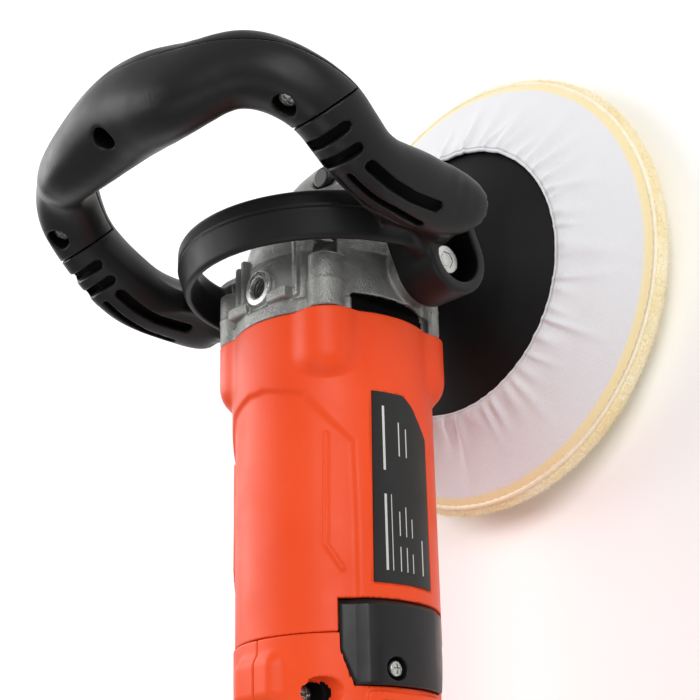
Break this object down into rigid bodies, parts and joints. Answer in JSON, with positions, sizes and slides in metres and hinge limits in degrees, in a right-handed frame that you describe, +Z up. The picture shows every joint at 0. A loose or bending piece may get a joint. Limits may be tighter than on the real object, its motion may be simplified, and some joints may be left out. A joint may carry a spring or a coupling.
{
  "type": "rotary polisher",
  "caption": "Rotary polisher with loop front handle, inline trigger rear handle, bevel gear head, backing pad and tied wool bonnet.",
  "frame": {"origin": "centre of the wool bonnet's flat working face, on the spindle axis", "axes": "+Z up along the spindle, away from the work; +X forward, from the rear handle to the gear head; +Y to the left of the tool"},
  "size_m": [0.456, 0.2, 0.222],
  "materials": {
    "wool": "soft wool pile and white cotton back",
    "pad_rubber": "matt",
    "steel": "machined",
    "bearing_steel": "ground",
    "felt": "felt",
    "cast_aluminium": "as cast",
    "black_plastic": "fine texture",
    "grip_plastic": "satin moulded",
    "orange_plastic": "satin moulded",
    "zinc_steel": "zinc plated",
    "brass": "plain",
    "carbon": "carbon",
    "label_black": "printed foil",
    "lamination": "varnished laminations",
    "copper": "enamelled wire and copper bars",
    "board": "lacquered",
    "rubber": "matt"
  },
  "bodies": {
    "tool_body": {"spindle_lower_bearing": "bearing_steel", "spindle_upper_bearing": "bearing_steel", "spindle_felt_seal": "felt", "spindle_bearing_cover": "cast_aluminium", "gear_case": "cast_aluminium", "spindle_lock_spring": "steel", "motor_housing": "orange_plastic", "brush_cover_left": "black_plastic", "brush_cover_right": "black_plastic", "brush_cover_screw_left": "zinc_steel", "brush_cover_screw_right": "zinc_steel", "brush_holder_left": "brass", "brush_holder_right": "brass", "carbon_brush_left": "carbon", "carbon_brush_right": "carbon", "rating_label": "label_black", "armature_front_bearing": "bearing_steel", "armature_rear_bearing": "bearing_steel", "stator_core": "lamination", "field_coil_upper": "copper", "field_coil_lower": "copper", "loop_handle_cover": "grip_plastic", "loop_handle_body": "grip_plastic", "grip_screw_centre": "zinc_steel", "grip_screw_left": "zinc_steel", "grip_screw_right": "zinc_steel", "loop_handle_bolt_left": "zinc_steel", "loop_handle_bolt_right": "zinc_steel", "rear_handle_left": "orange_plastic", "rear_handle_right": "orange_plastic", "power_switch": "black_plastic", "speed_control_board": "board", "cord_inlet": "rubber", "cover_screw_1": "zinc_steel", "gear_case_screw_1": "zinc_steel", "rear_handle_screw_1": "zinc_steel", "cover_screw_2": "zinc_steel", "gear_case_screw_2": "zinc_steel", "rear_handle_screw_2": "zinc_steel", "cover_screw_3": "zinc_steel", "gear_case_screw_3": "zinc_steel", "rear_handle_screw_3": "zinc_steel", "cover_screw_4": "zinc_steel", "gear_case_screw_4": "zinc_steel", "rear_handle_screw_4": "zinc_steel"},
    "spindle_assembly": {"spindle": "steel", "crown_gear": "steel", "backing_plate": "pad_rubber", "wool_bonnet": "wool"},
    "armature": {"armature_shaft": "steel", "bevel_pinion": "steel", "armature_core": "lamination", "armature_winding_front": "copper", "armature_winding_rear": "copper", "commutator": "copper", "cooling_fan": "black_plastic"},
    "trigger_lever": {"trigger": "black_plastic"},
    "lock_on": {"lock_on_button": "black_plastic"},
    "dial_wheel": {"speed_dial": "black_plastic"},
    "spindle_lock": {"spindle_lock_button": "black_plastic"}
  },
  "joints": [
    {"name": "spindle_spin", "type": "hinge", "parent": "tool_body", "child": "spindle_assembly", "pos_m": [0, 0, 0], "axis": [0, 0, 1], "continuous": true},
    {"name": "armature_spin", "type": "hinge", "parent": "tool_body", "child": "armature", "pos_m": [0, 0, 0.106], "axis": [1, 0, 0], "continuous": true},
    {"name": "trigger_pull", "type": "hinge", "parent": "tool_body", "child": "trigger_lever", "pos_m": [-0.229, 0, 0.086], "axis": [0, 1, 0], "range_deg": [0, 7], "stiffness_Nm_per_rad": 0.6, "springref_deg": -5.73},
    {"name": "lock_on_press", "type": "slide", "parent": "tool_body", "child": "lock_on", "axis": [0, -1, 0], "range_m": [0, 0.0025], "stiffness_N_per_m": 400, "springref_m": -0.001},
    {"name": "speed_dial_turn", "type": "hinge", "parent": "tool_body", "child": "dial_wheel", "pos_m": [-0.318, 0, 0.1235], "axis": [0, 1, 0], "range_deg": [0, 270]},
    {"name": "spindle_lock_press", "type": "slide", "parent": "tool_body", "child": "spindle_lock", "axis": [0, 0, -1], "range_m": [0, 0.003], "stiffness_N_per_m": 500, "springref_m": -0.001, "deforming": ["spindle_lock_spring"]}
  ],
  "couplings": [
    {"joint": "armature_spin", "follows": "spindle_spin", "ratio": -5.375}
  ]
}
